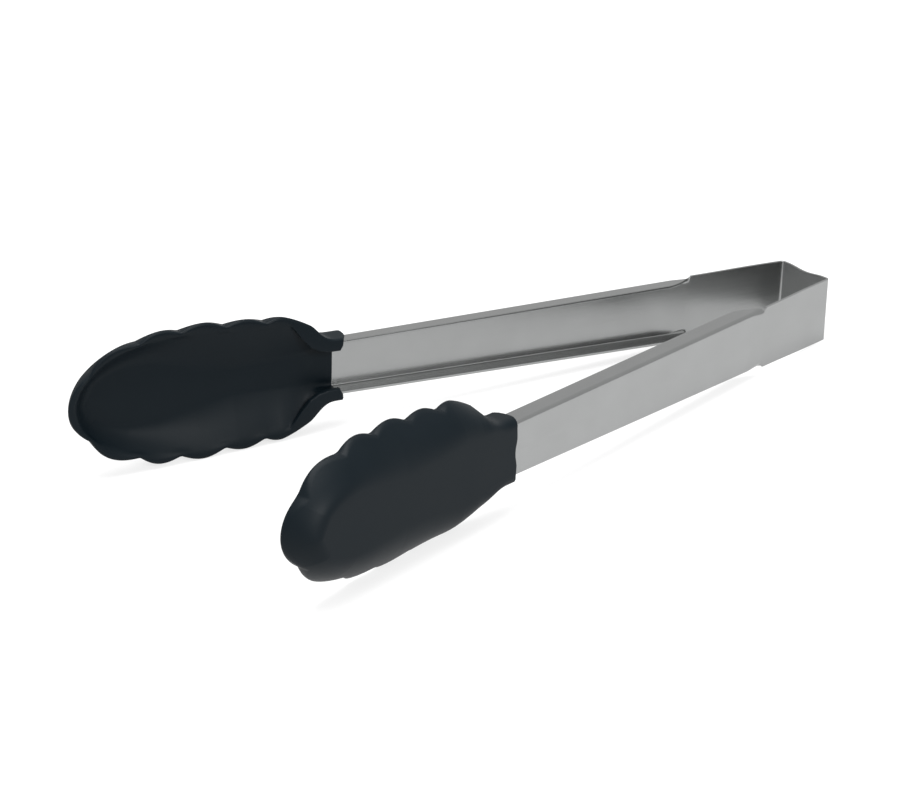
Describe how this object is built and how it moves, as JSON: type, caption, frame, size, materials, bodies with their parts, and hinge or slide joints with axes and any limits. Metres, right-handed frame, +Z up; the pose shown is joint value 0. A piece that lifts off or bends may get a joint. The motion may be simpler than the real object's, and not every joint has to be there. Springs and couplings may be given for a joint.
{
  "type": "spring-loaded kitchen tongs",
  "caption": "Sprung steel strip tongs: a bent bow joins channel-section arms that end in dark moulded scalloped heads for gripping food.",
  "frame": {"origin": "centre of the bounding box's footprint, on the surface that the open tongs lie on", "axes": "+X towards the bow and -X towards the heads, +Y towards the far arm, +Z up from that surface"},
  "size_m": [0.302, 0.1474, 0.0532],
  "materials": {
    "steel": "satin",
    "head": "matte"
  },
  "bodies": {
    "bow": {"spring_bow": "steel"},
    "near_arm": {"near_spring_leaf": "steel", "near_channel_arm": "steel", "near_scalloped_head": "head"},
    "far_arm": {"far_spring_leaf": "steel", "far_channel_arm": "steel", "far_scalloped_head": "head"}
  },
  "joints": [
    {"name": "near_arm_flex", "type": "hinge", "parent": "bow", "child": "near_arm", "pos_m": [0.13843, -0.01508, 0.01333], "axis": [-0.0551, 0, -0.9985], "range_deg": [0, 12.5], "stiffness_Nm_per_rad": 6, "deforming": ["near_spring_leaf"]},
    {"name": "far_arm_flex", "type": "hinge", "parent": "bow", "child": "far_arm", "pos_m": [0.13843, 0.01508, 0.01333], "axis": [0.0551, 0, 0.9985], "range_deg": [0, 12.5], "stiffness_Nm_per_rad": 6, "deforming": ["far_spring_leaf"]}
  ]
}
